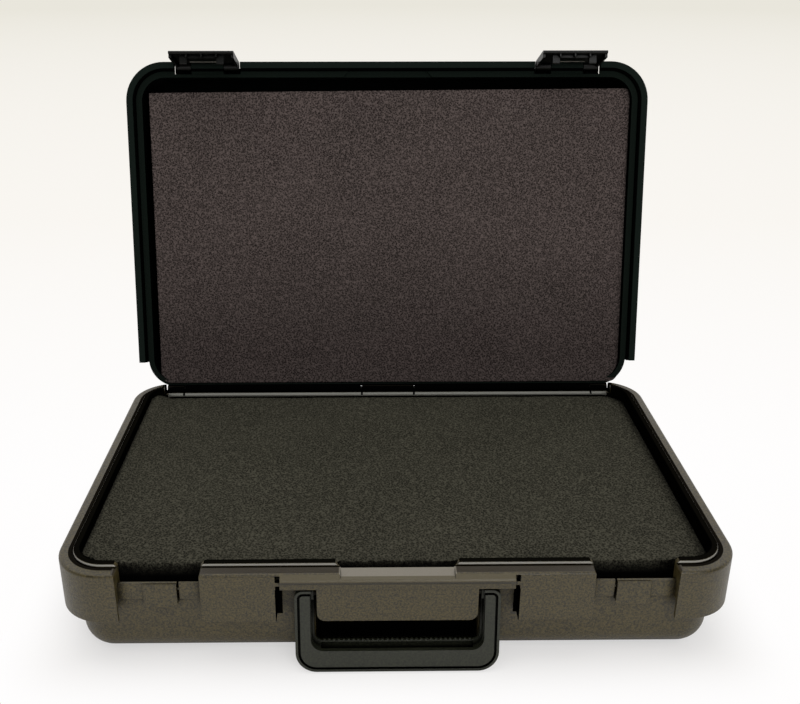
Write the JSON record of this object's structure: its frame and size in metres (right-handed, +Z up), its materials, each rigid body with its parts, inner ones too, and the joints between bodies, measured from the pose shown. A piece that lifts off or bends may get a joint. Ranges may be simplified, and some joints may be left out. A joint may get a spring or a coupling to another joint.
{
  "type": "otoscope carry case",
  "caption": "Moulded carry case with foam in base and lid, hinged lid, front latches and a loop handle.",
  "frame": {"origin": "middle of the flat underside of the base, on the table", "axes": "+X to the right along the case's width, +Y from the handle side to the hinge, +Z up"},
  "size_m": [0.42, 0.3656, 0.3377],
  "materials": {
    "shell": "fine moulded grain",
    "latch": "fine moulded grain",
    "handle": "satin moulded",
    "steel": "drawn wire",
    "foam": "open-cell foam"
  },
  "bodies": {
    "base": {"base_shell": "shell", "base_foam": "foam", "hinge_rod_left": "steel", "hinge_rod_right": "steel", "handle_pin_left": "steel", "handle_pin_right": "steel"},
    "lid": {"lid_shell": "shell", "lid_foam": "foam", "latch_pin_left": "steel", "latch_pin_right": "steel"},
    "left_latch": {"latch_left": "latch"},
    "right_latch": {"latch_right": "latch"},
    "loop_handle": {"handle": "handle"}
  },
  "joints": [
    {"name": "lid_hinge", "type": "hinge", "parent": "base", "child": "lid", "pos_m": [0, 0.13, 0.06575], "axis": [-1, 0, 0], "range_deg": [-101.8, 0]},
    {"name": "left_latch_hinge", "type": "hinge", "parent": "lid", "child": "left_latch", "pos_m": [-0.1445, 0.19206, 0.32248], "axis": [-1, 0, 0], "range_deg": [-8.5, 86.5]},
    {"name": "right_latch_hinge", "type": "hinge", "parent": "lid", "child": "right_latch", "pos_m": [0.1445, 0.19206, 0.32248], "axis": [-1, 0, 0], "range_deg": [-8.5, 86.5]},
    {"name": "handle_hinge", "type": "hinge", "parent": "base", "child": "loop_handle", "pos_m": [0, -0.1325, 0.0519], "axis": [-1, 0, 0], "range_deg": [-8, 87]}
  ]
}
